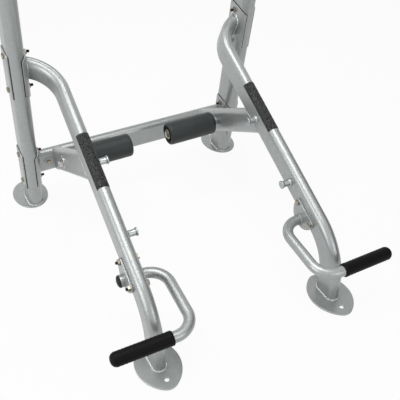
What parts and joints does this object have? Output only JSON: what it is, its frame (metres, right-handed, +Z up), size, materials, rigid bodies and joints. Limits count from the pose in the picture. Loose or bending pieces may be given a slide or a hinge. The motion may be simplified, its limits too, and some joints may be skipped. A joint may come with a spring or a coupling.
{
  "type": "dip station",
  "caption": "Free-standing dip and push-up station: leaning uprights, sloping step legs, dip arms, low push-up handles and foam foot rollers.",
  "frame": {"origin": "on the floor, in the middle of the footprint", "axes": "+Z is up, -Y is the front that the user steps on from, +X is on the right of someone who looks at the station from the front"},
  "size_m": [0.992, 1.2018, 1.5257],
  "materials": {
    "silver_paint": "satin",
    "bright_steel": "satin",
    "zinc_plate": "satin",
    "black_plastic": "matte",
    "black_rubber": "matte",
    "grey_foam": "satin",
    "grip_tape": "matte"
  },
  "bodies": {
    "frame": {"right_upright": "silver_paint", "right_rear_foot": "silver_paint", "right_crossmember_saddle": "silver_paint", "right_leg_saddle": "silver_paint", "right_dip_arm_saddle": "silver_paint", "right_upper_crossmember_saddle": "silver_paint", "right_crossmember_clamp": "silver_paint", "right_leg_clamp": "silver_paint", "right_upper_clamp": "silver_paint", "right_front_leg": "silver_paint", "right_front_foot": "silver_paint", "right_handle_plate": "silver_paint", "right_handle_clamp": "silver_paint", "right_push_up_handle": "silver_paint", "right_strut": "silver_paint", "right_dip_arm": "silver_paint", "left_upright": "silver_paint", "left_rear_foot": "silver_paint", "left_crossmember_saddle": "silver_paint", "left_leg_saddle": "silver_paint", "left_dip_arm_saddle": "silver_paint", "left_upper_crossmember_saddle": "silver_paint", "left_crossmember_clamp": "silver_paint", "left_leg_clamp": "silver_paint", "left_upper_clamp": "silver_paint", "left_front_leg": "silver_paint", "left_front_foot": "silver_paint", "left_handle_plate": "silver_paint", "left_handle_clamp": "silver_paint", "left_push_up_handle": "silver_paint", "left_strut": "silver_paint", "left_dip_arm": "silver_paint", "right_upper_band_peg": "bright_steel", "right_lower_band_peg": "bright_steel", "right_roller_axle": "bright_steel", "left_upper_band_peg": "bright_steel", "left_lower_band_peg": "bright_steel", "left_roller_axle": "bright_steel", "right_roller_outer_nut": "zinc_plate", "right_roller_inner_nut": "zinc_plate", "left_roller_outer_nut": "zinc_plate", "left_roller_inner_nut": "zinc_plate", "right_upright_cap": "black_plastic", "right_handle_plug": "black_plastic", "left_upright_cap": "black_plastic", "left_handle_plug": "black_plastic", "right_push_up_grip": "black_rubber", "right_dip_grip": "black_rubber", "left_push_up_grip": "black_rubber", "left_dip_grip": "black_rubber", "right_step_tape": "grip_tape", "left_step_tape": "grip_tape", "lower_crossmember": "silver_paint", "upper_crossmember": "silver_paint"},
    "right_roller": {"right_foam_roller": "grey_foam", "right_roller_sleeve": "black_plastic"},
    "left_roller": {"left_foam_roller": "grey_foam", "left_roller_sleeve": "black_plastic"}
  },
  "joints": [
    {"name": "right_roller_spin", "type": "hinge", "parent": "frame", "child": "right_roller", "pos_m": [0.1745, 0.26156, 0.27797], "axis": [1, 0, 0], "continuous": true},
    {"name": "left_roller_spin", "type": "hinge", "parent": "frame", "child": "left_roller", "pos_m": [-0.1745, 0.26156, 0.27797], "axis": [1, 0, 0], "continuous": true}
  ]
}
